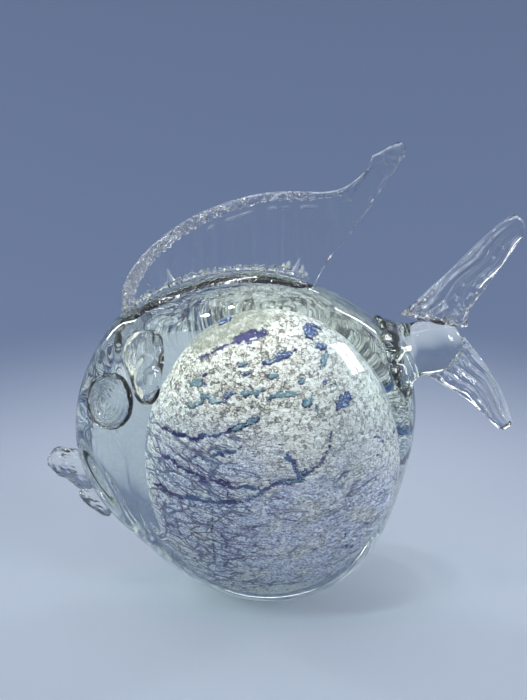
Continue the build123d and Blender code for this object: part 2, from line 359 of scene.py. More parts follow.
def plate_shades(place, size):
    """A random value on each plate of about this size."""
    sockets = {"Vector": place, "Scale": 1 / size}
    return leaf_place.node("ShaderNodeTexVoronoi", sockets, out="Color").axes()[0]


def cracks(size, width, swing_share):
    """Marks of 1 in a net of cracks between plates of about this size, and 0 on the plates."""
    return plate_edges(shaken(hung_place, 2 * size, swing_share * size), size, width)


uneven = leaf_place.ripple((1, 1, 1.5), uneven_size, detail=3)
front_low = (1 - upper) * (0.25 + fore * 0.8)
big_open = (uneven + front_low * 0.40 - upper * 0.15).step(0.55, 0.70)
small_open = (uneven + front_low * 0.34 - upper * 0.15).step(0.55, 0.72)
big_cracks = cracks(big_plate, 0.07, 0.6) * big_open
small_cracks = cracks(small_plate, 0.10, 0.7) * small_open
grey_cracks = cracks(grey_plate, 0.12, 0.8)
fine_cracks = cracks(fine_plate, 0.15, 0.8)
tear_edge = leaf_place.ripple((1, 1, 1.4), tear_edge_size, detail=4, rough=0.65)
long_tears = leaf_place.node("ShaderNodeAttribute", attribute_name="torn", out="Fac")
long_tears = (long_tears + tear_edge * 1.9 - 1.3).step(0.1, 0.4)
gap = leaf_place.math("MAXIMUM", big_cracks, small_cracks) * 0.9
gap = leaf_place.math("MAXIMUM", long_tears, gap)

grain = leaf_place.ripple((0.8, 0.8, 1.5), grain_size, detail=4, rough=0.75)
flakes = plate_shades(leaf_place, flake_size)
granule_place = shaken(leaf_place, granule_shake_size, granule_shake)
granules = plate_shades(granule_place, granule_size)
pitted = leaf_place.ripple((1, 1, 1), pit_patch, detail=2).step(0.36, 0.58)
pits = plate_edges(granule_place, granule_size, 0.16) * pitted
specks = leaf_place.ripple((1, 1, 1.3), speck_size, detail=3, rough=0.65, warp=0.4)
specks = specks.step(0.63, 0.68) * upper * (1 - top_strip)

# The grain and plates of the leaf, partly painted glints, which the ramps take from dark to white
low_grains_and_glints = (grain - 0.5) * 3.0 + flakes * 0.5 + 0.27
high_grains_and_glints = granules * 0.75 + (grain - 0.5) * 1.5 + 0.12 - pits * 0.55
shaded_plates = leaf_place.node("ShaderNodeValToRGB", {"Fac": low_grains_and_glints}, stops=shaded_silver)
lit_plates = leaf_place.node("ShaderNodeValToRGB", {"Fac": high_grains_and_glints}, stops=lit_silver)
# Random warm patches where the lower part takes the lit copy's colour
warm = leaf_place.ripple((1, 1, 1.6), warm_patch, detail=2).step(0.5, 0.62) * 0.5
shaded_plates = warm.tint(shaded_plates, lit_plates)
crack_shade = leaf_place.ripple((1, 1, 2), crack_streak).step(0.35, 0.65)
crack_shade = crack_shade.tint(violet_deep, violet_pale)
cobalt_cover = leaf_place.ripple((1, 1, 1.4), cobalt_patch).step(0.48, 0.6) * 0.8
crack_shade = cobalt_cover.tint(crack_shade, cobalt_pale)

# Painted light and shade: the lit silver over the top of the ball, the shaded silver below it
leaf_colour = upper.tint(shaded_plates, lit_plates)
for cover, shade in (
    (top_strip * (0.55 + (1 - granules) * 0.45), crown_tan),
    # Painted shade over the upper rear of the ball
    (rear * upper * 0.5, painted_rear_shade),
    (grey_cracks * (0.1 + rear * 0.4) * (1 - upper * 0.8), grey_crack),
    (fine_cracks * 0.22 * (1 - upper * 0.9), fine_crack),
    (specks * 0.9, dark_speck),
    # Painted highlights at the head end and along the bottom of the ball
    (front_rim * 0.85 * grain.step(0.4, 0.56), front_highlight),
    (low_rim * 0.8 * grain.step(0.42, 0.58), foot_highlight),
    (gap, crack_shade),
):
    leaf_colour = cover.tint(leaf_colour, shade)
feed(leaf_shader, "Base Color", leaf_colour)
feed(leaf_shader, "Metallic", 0.5 - gap * 0.45)
feed(leaf_shader, "Roughness", 0.42 + rear * 0.16 - gap * 0.15)
relief = grain * 0.7 + flakes * 0.3 + granules * upper * 0.5
relief = relief - gap * 0.8 - fine_cracks * 0.3 - grey_cracks * 0.3
leaf_bump = {"Height": relief, "Strength": 1.0, "Distance": relief_depth}
feed(leaf_shader, "Normal", leaf_place.node("ShaderNodeBump", leaf_bump))
leaf.data.materials.append(leaf_finish)
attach(leaf, "root")
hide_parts("silver_leaf")

# Bare chips
# Flat chips of cobalt and turquoise glass that were picked up on the hot core and melted in flush.
# They lie bare where the silver tore away from them, each in a shallow dip of the leaf.
cobalt_deep = (0.02, 0.035, 0.16, 1)
turquoise_deep = (0.05, 0.14, 0.22, 1)
turquoise_pale = (0.17, 0.33, 0.39, 1)
chip_thickness = 0.4 * MM
chip_dip = 0.25 * MM
chip_rim = 1.2
chip_softening = {"factor": 0.5, "repeat": 2}
chip_crumples = [(0.75, 1.9 * MM, 71), (0.45, 0.9 * MM, 73)]

# Each chip's place and half size in the shares of the tears, and how far it leans, in radians
cobalt_chip_shares = [
    (-0.31, 0.47, 0.05, 0.022, 0.3), (0.12, 0.74, 0.08, 0.026, 0.4), (0.01, 0.70, 0.05, 0.02, 0.2),
    (0.34, 0.90, 0.05, 0.05, 0.6), (0.42, 0.80, 0.03, 0.05, 1.2), (0.62, 0.42, 0.085, 0.03, 1.0),
    (-0.18, 0.61, 0.03, 0.012, 0.2), (0.47, 0.55, 0.03, 0.014, 0.9),
    (-0.52, 0.60, 0.02, 0.012, 0.4),
]
turquoise_chip_shares = [
    (-0.60, 0.54, 0.05, 0.03, 0.4), (-0.46, 0.43, 0.08, 0.024, -0.3),
    (-0.61, 0.39, 0.06, 0.018, 0.2), (-0.14, 0.48, 0.09, 0.022, 0.1),
    (0.10, 0.46, 0.12, 0.024, 0.15), (0.33, 0.42, 0.05, 0.032, 0.5),
    (-0.20, 0.68, 0.06, 0.018, 0.3), (0.45, 0.70, 0.07, 0.02, 1.3),
    (0.05, 0.60, 0.05, 0.016, 0.3), (-0.22, 0.24, 0.07, 0.02, 0.4),
    (-0.12, 0.28, 0.07, 0.022, 0.4), (0.22, -0.16, 0.08, 0.018, 0.1),
    (0.27, 0.56, 0.04, 0.014, 0.5), (0.40, 0.36, 0.03, 0.014, 0.8), (0.3, -0.1, 0.03, 0.02, 1.0),
]
ragged = crumple(ball_places, chip_crumples)


def on_chips(chip_shares):
    """Which places of the ball lie on a bare chip, with a ragged edge."""
    inside = np.zeros(len(seen_along), dtype=bool)
    for middle_x, middle_z, half_x, half_z, lean in chip_shares:
        run_x, run_z = (seen_along - middle_x) * leaf_reach.x, (seen_up - middle_z) * leaf_reach.z
        far = run_x * cos(lean) + run_z * sin(lean)
        wide = run_z * cos(lean) - run_x * sin(lean)
        stretch = (far / (half_x * leaf_reach.x)) ** 2 + (wide / (half_z * leaf_reach.z)) ** 2
        inside |= np.sqrt(stretch) + ragged < chip_rim
    return inside


def bare_chips(name, inside, material, node):
    """Cut the bare chips out of a ball like the leaf's, and give them their thickness."""
    chips = new_ball(name)
    put_vertices(chips, ball_places + np.array(leaf_middle))
    bpy.ops.object.mode_set(mode="EDIT")
    bpy.ops.mesh.select_mode(type="FACE")
    bpy.ops.mesh.select_all(action="DESELECT")
    bpy.ops.object.mode_set(mode="OBJECT")
    for face in chips.data.polygons:
        face.select = not inside[list(face.vertices)].all()
    bpy.ops.object.mode_set(mode="EDIT")
    bpy.ops.mesh.delete(type="FACE")
    bpy.ops.mesh.select_mode(type="VERT")
    bpy.ops.mesh.select_all(action="SELECT")
    bpy.ops.mesh.vertices_smooth(**chip_softening)
    bpy.ops.object.mode_set(mode="OBJECT")
    thick = chips.modifiers.new("thick", "SOLIDIFY")
    thick.thickness = chip_thickness
    thick.offset = -1
    bpy.ops.object.modifier_apply(modifier="thick")
    bpy.ops.object.shade_smooth()
    chips.data.materials.append(material)
    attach(chips, "root")
    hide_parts(node)


cobalt_glass = dense_glass("cobalt_glass", cobalt_deep, cobalt_pale)
turquoise_glass = dense_glass("turquoise_glass", turquoise_deep, turquoise_pale)
cobalt_bare, turquoise_bare = on_chips(cobalt_chip_shares), on_chips(turquoise_chip_shares)
bare_chips("bare_cobalt_chips", cobalt_bare, cobalt_glass, "cobalt_chips")
bare_chips(
    "bare_turquoise_chips", turquoise_bare, turquoise_glass, "turquoise_chips"
)
dip = chip_dip * (cobalt_bare | turquoise_bare)
put_vertices(leaf, vertex_places(leaf) - ball_ways * dip[:, None])

# Clear casing
# A thick gather of clear glass over the silver, blown and pressed to the fish's round body and
# ground flat under the belly. The glass has a faint green cast where it is thick.
casing_low, casing_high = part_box("clear_casing")
casing_middle = (casing_low + casing_high) / 2
casing_subdivisions = 7
casing_start_share = 0.62
melt_factor = 0.5
melt_rounds = 60
casing_cast = (0.45, 0.76, 0.42, 1)
casing_density = 5.0
glass_index = 1.5
lamp_cast = (0.92, 0.95, 0.94, 1)
sag_depth = 0.042 * MM
sag_crumples = [(0.07 * MM, 14 * MM, 5)]
sag_fade = 4 * MM

# Lines along the head where the glass dragged as the mouth and the fins were pulled, in mm, and
# the groove that each one left with a low ridge beside it
drag_marks = [
    [(-57.0, 57.1), (-52.6, 48.6), (-48.6, 41.8), (-45.4, 34.2), (-41.4, 29.2)],
    [(-45.0, 62.1), (-44.2, 55.4), (-43.8, 48.6), (-41.4, 38.5), (-37.3, 29.2), (-34.1, 23.2)],
    [(-46.0, 96.0), (-45.0, 91.9), (-44.6, 84.9), (-41.4, 79.1), (-39.0, 74.0)],
]
mark_points = 40
mark_depth = 0.32 * MM
mark_width = 1.9 * MM
mark_end = 5 * MM
ridge_share = 0.4
ridge_away = 3.6 * MM
ridge_width = 1.8 * MM


def clear_glass(name, tint, density):
    """Clear glass whose thickness shows as a cast, and that lets lamps through to what it holds."""
    material, shader, place = finish(name)
    tree = material.node_tree
    shader.inputs["Transmission Weight"].default_value = 1.0
    shader.inputs["Roughness"].default_value = 0.0
    shader.inputs["IOR"].default_value = glass_index
    shader.inputs["Base Color"].default_value = (1, 1, 1, 1)
    lamp_ray = place.node("ShaderNodeLightPath", out="Is Shadow Ray")
    open_way = place.node("ShaderNodeBsdfTransparent", {"Color": lamp_cast})
    closed_way = Glaze(tree, shader.outputs[0])
    whole = place.node("ShaderNodeMixShader", {0: lamp_ray, 1: closed_way, 2: open_way})
    body = place.node("ShaderNodeVolumeAbsorption", {"Color": tint, "Density": density})
    tree.links.new(whole.socket, tree.nodes["Material Output"].inputs["Surface"])
    tree.links.new(body.socket, tree.nodes["Material Output"].inputs["Volume"])
    return material


def flowing(corners, count, steps=24):
    """Places along a smooth chain through corners, at even steps, as an array of x and z."""
    corners = np.array(corners) * MM
    ends = np.vstack([2 * corners[0] - corners[1], corners, 2 * corners[-1] - corners[-2]])
    chain = []
    for a, b, c, d in zip(ends, ends[1:], ends[2:], ends[3:]):
        for t in np.linspace(0, 1, steps, endpoint=False):
            bow = (2 * a - 5 * b + 4 * c - d) * t**2 + (3 * b - a - 3 * c + d) * t**3
            chain.append(0.5 * (2 * b + (c - a) * t + bow))
    chain = np.array([*chain, corners[-1]])
    runs = np.linalg.norm(np.diff(chain, axis=0), axis=1)
    reach = np.concatenate([[0], np.cumsum(runs)])
    marks = np.linspace(0, reach[-1], count)
    return np.stack([np.interp(marks, reach, chain[:, axis]) for axis in (0, 1)], 1)


def reach_to(places, chain):
    """How far each place lies from a chain, and how far along the chain, both in metres."""
    best = np.full(len(places), np.inf)
    along = np.zeros(len(places))
    run = 0.0
    for a, b in zip(chain, chain[1:]):
        step = b - a
        length = np.linalg.norm(step)
        share = np.clip(((places - a) @ step) / length**2, 0, 1)
        away = np.linalg.norm(places - a - share[:, None] * step, axis=1)
        nearer = away < best
        best[nearer] = away[nearer]
        along[nearer] = (run + share * length)[nearer]
        run += length
    return best, along


bpy.ops.object.select_all(action="DESELECT")
bpy.ops.mesh.primitive_ico_sphere_add(subdivisions=casing_subdivisions, radius=1)
casing = bpy.context.object
casing.name = "clear_body"
bpy.ops.object.mode_set(mode="EDIT")
bpy.ops.transform.resize(value=(casing_high - casing_low) * casing_start_share)
bpy.ops.transform.translate(value=casing_middle)
bpy.ops.object.mode_set(mode="OBJECT")
wrap = casing.modifiers.new("wrap", "SHRINKWRAP")
wrap.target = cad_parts["clear_casing"]
wrap.wrap_method = "NEAREST_SURFACEPOINT"
melt = casing.modifiers.new("melt", "SMOOTH")
melt.factor = melt_factor
melt.iterations = melt_rounds
for modifier in ("wrap", "melt"):
    bpy.ops.object.modifier_apply(modifier=modifier)
bpy.ops.object.shade_smooth()

casing_places = vertex_places(casing)
casing_out = casing_places - np.array(casing_middle)
casing_out /= np.linalg.norm(casing_out, axis=1)[:, None]
sag = crumple(casing_places, sag_crumples) - sag_depth
for mark in drag_marks:
    from_mark, on_mark = reach_to(casing_places[:, (0, 2)], flowing(mark, mark_points))
    to_end = np.clip(np.minimum(on_mark, on_mark.max() - on_mark) / mark_end, 0, 1)
    groove = np.exp(-(from_mark / mark_width) ** 2)
    groove = groove - ridge_share * np.exp(-((from_mark - ridge_away) / ridge_width) ** 2)
    sag -= mark_depth * groove * to_end
sag *= np.clip(casing_places[:, 2] / sag_fade, 0, 1)
put_vertices(casing, casing_places + casing_out * sag[:, None])
casing.data.materials.append(clear_glass("clear_glass", casing_cast, casing_density))
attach(casing, "root")
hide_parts("clear_casing")

# Dorsal fin
# A hot strip of clear glass laid along the back, pressed thin with ribs between jacks, its top
# edge left as a thick crumpled roll and its tail end pulled up to a curled tip.

# The outline along its foot, top and rear, in mm
fin_foot = [
    (-45.6, 91.2), (-38, 98.6), (-30, 102.7), (-22, 105.6), (-13, 107.6), (-4, 107.9), (5, 106.5),
    (12.2, 104),
]
fin_top = [
    (-45.9, 91.5), (-47.0, 98.3), (-46.7, 104.1), (-45.2, 108.4), (-42.9, 112.4), (-39.8, 116.3),
    (-35.9, 119.9), (-31.7, 123.3), (-27.1, 126.5), (-22.6, 129), (-17.8, 131), (-12.2, 133),
    (-6.6, 134.5), (-0.9, 135.4), (4.7, 135.7), (10.2, 135.6), (15.7, 135.5), (19.4, 136),
    (22.3, 137), (24.9, 138.6), (27.4, 140.8), (29.4, 143.6), (30.4, 146.4), (32.6, 147.6),
    (35.4, 149.3), (38.3, 150.8), (40.1, 149.9),
]
fin_rear = [
    (12.2, 104), (16.9, 112.6), (21.6, 118.4), (26.6, 125.2), (31.0, 132), (34.6, 137.9),
    (38.0, 143), (40.0, 146.6), (40.1, 149.9),
]
fin_grid = (400, 104)
foot_points, top_points, rear_points = 90, 160, 60
fin_lean = 1.6 * MM
fin_rise = 45 * MM
fin_wave, fin_wave_start = 14 * MM, 0.6
sheet_crowding = 1.15
merge_distance = 0.01 * MM
sheet_edge = 1e-6

# The roll along the top, from head to tail in mm, with its pleats and the seams of its bark
fin_roll_half = [2.4, 2.2, 1.9, 1.7, 1.5, 1.25, 0.9, 0.6]
fin_roll_thick = 4.6 * MM
fin_roll_full = 1.9 * MM
fin_rear_half = 0.8 * MM
fin_rear_thick = 2.2 * MM
pleat_pitch = 2.4 * MM
pleat_sways = [(1.1, 6 * MM, 1)]
pleat_frays = [(0.25, 1.0 * MM, 2)]
pleat_depth, pleat_drop = 0.55, 0.3
seam_pitch, seam_drop = 2.9 * MM, 2.6 * MM
seam_crumples = [(1.3, 4 * MM, 12)]
bark_low, bark_swell = 0.62, 0.5
bark_crumples = [(0.2, 1.5 * MM, 3), (0.42, 1.0 * MM, 14)]

# The blade, its ribs and the faint line under the roll
fin_blade = 1.7 * MM
blade_edge = 0.5 * MM
rib_crumples = [(0.9 * MM, 9 * MM, 13)]
rib_waves = [(1, 4.2 * MM, 4)]
rib_fine_waves = [(0.8, 2.8 * MM, 5)]
rib_height, rib_sharpness = 0.75, 0.26
rib_fade = 9 * MM
line_height, line_away, line_width = 0.38, 2.2 * MM, 0.3 * MM
line_waves = [(3, 4 * MM, 6)]
line_start_share, line_end_share = 0.4, 0.8

# The foot's two layers, each its middle, half width and thickness in mm, and the spikes drawn up
# from it, each its share of the foot's length and its height in mm
foot_layers = [(0.9, 1.5, 9.8), (3.5, 1.5, 6.2)]
foot_end = 5 * MM
foot_thinning = 7 * MM
layer_wave = (0.16, 1.3 * MM)
teeth_waves = [(0.7 * MM, 1.3 * MM, 7), (0.5 * MM, 0.6 * MM, 8)]
foot_spikes = [
    (0.33, 7.0), (0.47, 2.8), (0.60, 2.4), (0.785, 5.4), (0.84, 3.6), (0.865, 5.0), (0.90, 7.4),
    (0.925, 5.2), (0.95, 3.5),
]
spike_root = 4.2 * MM
spike_half = 1.5 * MM
spike_thick = 3.4 * MM

# The curled tip, with its place in mm
tip_place = (36.5, 147.5)
tip_reach = 4.5 * MM
tip_thick = 1.6 * MM
tip_edge = 0.9 * MM
tip_crumples = [(0.9, 1.7 * MM, 11)]


def wander(along, layers):
    """Smooth random values along a length, summed over layers like those of a crumple."""
    total = np.zeros(len(along))
    for height, size, seed in layers:
        places = [Vector((reach / size, seed * 3.7, seed)) for reach in along]
        total += height * np.array([noise.noise(place) for place in places])
    return total


def roll(away, middle, half, thick):
    """Thickness of a rolled band of glass whose middle lies at a distance from an edge."""
    return thick * np.sqrt(np.clip(1 - ((away - middle) / half) ** 2, 0, 1))


def pressed_sheet(name, low_side, high_side, columns, rows, thickness, end_side=None):
    """Press a sheet of glass between two sides, as thick as thickness says, and close it round."""
    bpy.ops.object.select_all(action="DESELECT")
    bpy.ops.mesh.primitive_grid_add(x_subdivisions=columns, y_subdivisions=rows, size=1)
    sheet = bpy.context.object
    sheet.name = name
    shares = vertex_places(sheet)[:, :2] + 0.5
    column = np.rint(shares[:, 0] * columns).astype(int)
    low, high = flowing(low_side, columns + 1)[column], flowing(high_side, columns + 1)[column]
    rise = 1 - (1 - shares[:, 1]) ** sheet_crowding
    flat = low + (high - low) * rise[:, None]
    if end_side:
        row = np.rint(shares[:, 1] * rows).astype(int)
        end = flowing(end_side, rows + 1)[row]
        straight = end[row.argmin()] + (end[row.argmax()] - end[row.argmin()]) * shares[:, 1:]
        flat += (end - straight) * shares[:, :1] ** 3
    edge = (np.minimum(shares, 1 - shares) < sheet_edge).any(axis=1)
    thick = np.where(edge, 0, thickness(flat, shares))
    put_vertices(sheet, np.stack([flat[:, 0], -thick / 2, flat[:, 1]], 1))
    fold = sheet.modifiers.new("fold", "MIRROR")
    fold.use_axis = (False, True, False)
    fold.merge_threshold = merge_distance
    bpy.ops.object.modifier_apply(modifier="fold")
    bpy.ops.object.mode_set(mode="EDIT")
    bpy.ops.mesh.select_all(action="SELECT")
    bpy.ops.mesh.remove_doubles(threshold=merge_distance)
    bpy.ops.mesh.dissolve_degenerate(threshold=merge_distance)
    bpy.ops.mesh.normals_make_consistent(inside=False)
    bpy.ops.object.mode_set(mode="OBJECT")
    shell = bmesh.new()
    shell.from_mesh(sheet.data)
    if shell.calc_volume(signed=True) < 0:
        bmesh.ops.reverse_faces(shell, faces=shell.faces)
        shell.to_mesh(sheet.data)
    shell.free()
    bpy.ops.object.shade_smooth()
    return sheet


def fin_thickness(flat, shares):
    """Thickness of the ribbed blade, its rolled edges, its layered and spiked foot and its tip."""
    places = np.insert(flat, 1, 0, axis=1)
    from_top, on_top = reach_to(flat, flowing(fin_top, top_points))
    from_foot, on_foot = reach_to(flat, flowing(fin_foot, foot_points))
    from_rear = reach_to(flat, flowing(fin_rear, rear_points))[0]
    from_edge = np.minimum(from_top, from_rear)
    top_run, foot_run = on_top.max(), on_foot.max()

    roll_places = np.linspace(0, 1, len(fin_roll_half))
    half = np.interp(on_top / top_run, roll_places, fin_roll_half) * MM
    notch = on_top / pleat_pitch + wander(on_top, pleat_sways)
    pleats = pleat_depth * np.abs(2 * (notch % 1) - 1) - pleat_drop + wander(on_top, pleat_frays)
    seam = on_top / seam_pitch + from_top / seam_drop + crumple(places, seam_crumples)
    bark = bark_low + bark_swell * np.abs(np.sin(pi * seam)) + crumple(places, bark_crumples)
    inner_half = np.where(from_top < half, half, half * (1 + pleats))
    rim = roll(from_top, half, inner_half, fin_roll_thick * half / fin_roll_full) * bark
    rear_rim = roll(from_rear, fin_rear_half, fin_rear_half, fin_rear_thick)

    swing = flat[:, 0] + crumple(places * (0.4, 1, 1), rib_crumples)
    ribs = rib_height * np.exp(-(wander(swing, rib_waves) / rib_sharpness) ** 2)
    ribs = (ribs + wander(swing, rib_fine_waves)) * np.clip(from_top / rib_fade, 0, 1)
    line = line_height * np.exp(-((from_top - half * 2 - line_away) / line_width) ** 2)
    line = line * np.clip(wander(on_top, line_waves) + 0.4, 0, 1)
    line = line * (on_top > line_start_share * top_run) * (on_top < line_end_share * top_run)
    blade = fin_blade * (1 + ribs + line) * np.clip(from_edge / blade_edge, 0, 1) ** 0.5
    thick = np.maximum(np.maximum(rim, rear_rim), blade)

    teeth = wander(on_foot, teeth_waves)
    to_end = np.clip((foot_run - on_foot) / foot_end, 0, 1) ** 0.5
    for layer, band_sizes in enumerate(foot_layers):
        middle, band_half, band_thick = (size * MM for size in band_sizes)
        grow = teeth * layer
        band = roll(from_foot, middle + grow, band_half + grow, band_thick)
        band = band * (1 + wander(on_foot, [(*layer_wave, 9 + layer)]))
        band = band * np.clip(1.35 - from_foot / foot_thinning, 0.3, 1)
        band = np.where(from_foot < middle, band_thick * (1 - layer), band)
        thick = np.maximum(thick, band * to_end)
    for place, tall in foot_spikes:
        rise = (from_foot - spike_root) / (tall * MM)
        half_wide = spike_half * np.clip(1 - rise, 0.01, 1)
        spike = roll(on_foot, place * foot_run, half_wide, spike_thick)
        thick = np.maximum(thick, spike * np.clip(1.1 - rise, 0, 1) * (rise < 1))

    tip = np.linalg.norm(flat - np.array(tip_place) * MM, axis=1)
    curl = tip_thick * np.exp(-(tip / tip_reach) ** 2) * (1 + crumple(places, tip_crumples))
    return thick + curl * np.clip(from_edge / tip_edge, 0, 1) ** 0.5


def join_fish(piece, node):
    """A finished bit of clear glass stands for its CAD node and goes with the fish."""
    piece.data.materials.append(bit_glass)
    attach(piece, "root")
    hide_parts(node)


bit_glass = clear_glass("bit_glass", casing_cast, casing_density)
fin = pressed_sheet(
    "ribbed_dorsal_fin", fin_foot, fin_top, *fin_grid, fin_thickness, end_side=fin_rear
)
fin_places = vertex_places(fin)
risen = np.clip((fin_places[:, 2] - casing_high.z) / fin_rise, 0, 1)
fin_places[:, 1] += fin_lean * risen * np.sin(fin_places[:, 0] / fin_wave + fin_wave_start)
put_vertices(fin, fin_places)
join_fish(fin, "dorsal_fin")

# Tail
# A pointed knob of clear glass stuck to the body while soft, and two lobes pulled from it and
# grooved lengthwise with pincers. The joints stayed crumpled where the bits were pressed on.
knob_root = Vector((32.9, 0, 81.6)) * MM
knob_lean = radians(15)
knob_way = Vector((cos(knob_lean), 0, sin(knob_lean)))

# Rings of the knob by their distance and width, and the two long sides of each lobe, in mm
knob_rings = [
    (3.2, 27.5), (4.6, 26.6), (6.2, 24.2), (8.4, 22.0), (10.6, 19.6), (12.4, 17.6), (14.0, 17.0),
    (16.2, 17.6), (19.0, 17.2), (21.6, 16.4), (24.0, 15.4), (26.4, 12.6), (27.9, 8.6), (28.6, 4.0),
]
upper_lobe_sides = (
    [(62.4, 92.6), (62.3, 97.0), (64.0, 100.6), (66.5, 104.4), (69.2, 108.6), (72.2, 113.1),
     (75, 117.5), (77.2, 121.5), (78.2, 124.8), (77.0, 127.4)],
    [(40.7, 96.8), (45.5, 101.0), (50.5, 106), (55.7, 111.1), (60.2, 115.8), (64.6, 120.4),
     (69, 124.7), (72.5, 127.5), (75.2, 128.5), (77.0, 127.4)],
)
lower_lobe_sides = (
    [(50.0, 76.5), (55.0, 73.6), (61, 70), (65.9, 66.3), (69.8, 62.6), (73, 59.4), (75.4, 58.0),
     (77.7, 58.9)],
    [(61.5, 89.5), (65.5, 84.5), (68.7, 80.5), (72.4, 74.9), (75.2, 70), (77.3, 65), (78.5, 61.5),
     (77.7, 58.9)],
)
upper_lobe_grid, lower_lobe_grid = (170, 80), (150, 70)
joint_crumples = [(0.9 * MM, 2.6 * MM, 21)]
joint_full, joint_fade = 5 * MM, 6 * MM
knob_crumples = [(0.8 * MM, 8 * MM, 22)]
bit_sides = 48
groove_depth, groove_sway = 0.26, (0.25, 0.3)
lobe_root_share, lobe_end_share = 0.14, 0.06
root_crumple, lobe_crumple = (0.5, 1.5 * MM), (0.05, 2.5 * MM)


def draw_out(name, root, way, across, rings):
    """Draw a bit of hot glass out from its root: rings give the distance, width and thickness."""
    bpy.ops.object.select_all(action="DESELECT")
    bpy.ops.mesh.primitive_circle_add(vertices=bit_sides, radius=0.5, fill_type="NGON")
    bit = bpy.context.object
    bit.name = name
    place, width, thickness = (size * MM for size in rings[0])
    bpy.ops.object.mode_set(mode="EDIT")
    bpy.ops.transform.resize(value=(thickness, width, 1))
    bpy.ops.transform.translate(value=(0, 0, place))
    for ring in rings[1:]:
        next_place, next_width, next_thickness = (size * MM for size in ring)
        out = {"value": (0, 0, next_place - place)}
        bpy.ops.mesh.extrude_region_move(TRANSFORM_OT_translate=out)
        bpy.ops.transform.resize(value=(next_thickness / thickness, next_width / width, 1))
        place, width, thickness = next_place, next_width, next_thickness
    bpy.ops.mesh.select_all(action="SELECT")
    bpy.ops.mesh.normals_make_consistent(inside=False)
    bpy.ops.object.mode_set(mode="OBJECT")
    soften = bit.modifiers.new("soften", "SUBSURF")
    soften.levels = soften.render_levels = 2
    bpy.ops.object.modifier_apply(modifier="soften")
    across = (Vector(across) - Vector(way) * Vector(across).dot(way)).normalized()
    turn = Matrix((across, Vector(way).cross(across), Vector(way))).transposed()
    bit.matrix_world = Matrix.Translation(root) @ turn.to_4x4()
    bpy.ops.object.transform_apply(location=True, rotation=True, scale=True)
    bpy.ops.object.shade_smooth()
    return bit


def round_rings(rings):
    """The rings of a bit that is as thick as it is wide."""
    return [(place, width, width) for place, width in rings]


def crinkle(piece, layers, mask=None, stretch=(1, 1, 1)):
    """Crinkle a bit's skin along its normals, one layer after another, where the mask says."""
    for layer in layers:
        places = vertex_places(piece)
        normals = np.empty(len(places) * 3, dtype=np.float32)
        piece.data.vertices.foreach_get("normal", normals)
        lift = crumple(places * stretch, [layer])
        if mask is not None:
            lift = lift * mask(places)
        put_vertices(piece, places + normals.reshape(-1, 3) * lift[:, None])


def near_joint(places):
    """1 where the knob meets the body, fading out along it."""
    along = (places - np.array(knob_root)) @ np.array(knob_way)
    return np.clip(1 - (along - joint_full) / joint_fade, 0.05, 1)


def lobe_thickness(base, tip, grooves, seed):
    """Thickness of a lobe: grooved lengthwise, thick at its edges and crumpled at its root."""
    def thickness(flat, shares):
        along, over = shares[:, 0], shares[:, 1]
        places = np.insert(flat, 1, 0, axis=1)
        body = (base + (tip - base) * along) * MM
        groove = np.cos(2 * pi * (over + wander(along, [(*groove_sway, seed)])) * grooves)
        depth = groove_depth * np.clip(along * 8, 0, 1) * np.clip((0.92 - along) * 5, 0, 1)
        edge = np.clip(1 - np.abs(2 * over - 1) ** 3.5, 0, 1) ** 0.5
        end = np.clip((1 - along) / lobe_end_share, 0, 1) ** 0.5
        root = np.exp(-(along / lobe_root_share) ** 2)
        rough = 1 + root * crumple(places, [(*root_crumple, seed)])
        fine = 1 + crumple(places, [(*lobe_crumple, seed + 1)])
        return body * edge * end * (1 - depth * (0.5 + 0.5 * groove)) * rough * fine
    return thickness


knob = draw_out("tail_knob_bulb", knob_root, knob_way, (0, 1, 0), round_rings(knob_rings))
crinkle(knob, joint_crumples, near_joint)
crinkle(knob, knob_crumples)
join_fish(knob, "tail_knob")
upper_thickness = lobe_thickness(base=6.8, tip=4.6, grooves=3.5, seed=31)
upper_lobe = pressed_sheet(
    "upper_tail_lobe_blade", *upper_lobe_sides, *upper_lobe_grid, upper_thickness
)
join_fish(upper_lobe, "upper_tail_lobe")
lower_thickness = lobe_thickness(base=6.6, tip=5.0, grooves=4.5, seed=35)
lower_lobe = pressed_sheet(
    "lower_tail_lobe_blade", *lower_lobe_sides, *lower_lobe_grid, lower_thickness
)
join_fish(lower_lobe, "lower_tail_lobe")

# Lips
# Two small bits of clear glass, put on one under the other and pinched out at the mouth. They
# stayed crinkled where the pincers held them.
lip_rings = [(0.0, 1.1), (0.3, 1.0), (0.55, 0.84), (0.75, 0.7), (0.93, 0.55), (1.0, 0.25)]

# Each lip's node, root in mm, lean in degrees, and length, width and height of its crinkles in mm
lips = (
    ("upper_lip", Vector((-56.3, 0, 41.6)), 158, 18.0, 12.5, 0.55),
    ("lower_lip", Vector((-51.8, 0, 30.1)), 152, 12.5, 9.0, 0.45),
)
for number, (node, root, lean, length, width, crinkled) in enumerate(lips):
    way = Vector((cos(radians(lean)), 0, sin(radians(lean))))
    rings = round_rings([(place * length, share * width) for place, share in lip_rings])
    lip = draw_out(node + "_bit", root * MM, way, (0, 1, 0), rings)
    crinkle(lip, [(crinkled * MM, 1.7 * MM, 41 + number), (crinkled * MM, 4.0 * MM, 43 + number)])
    crinkle(lip, [(0.3 * MM, 1.0 * MM, 45 + number)])
    join_fish(lip, node)

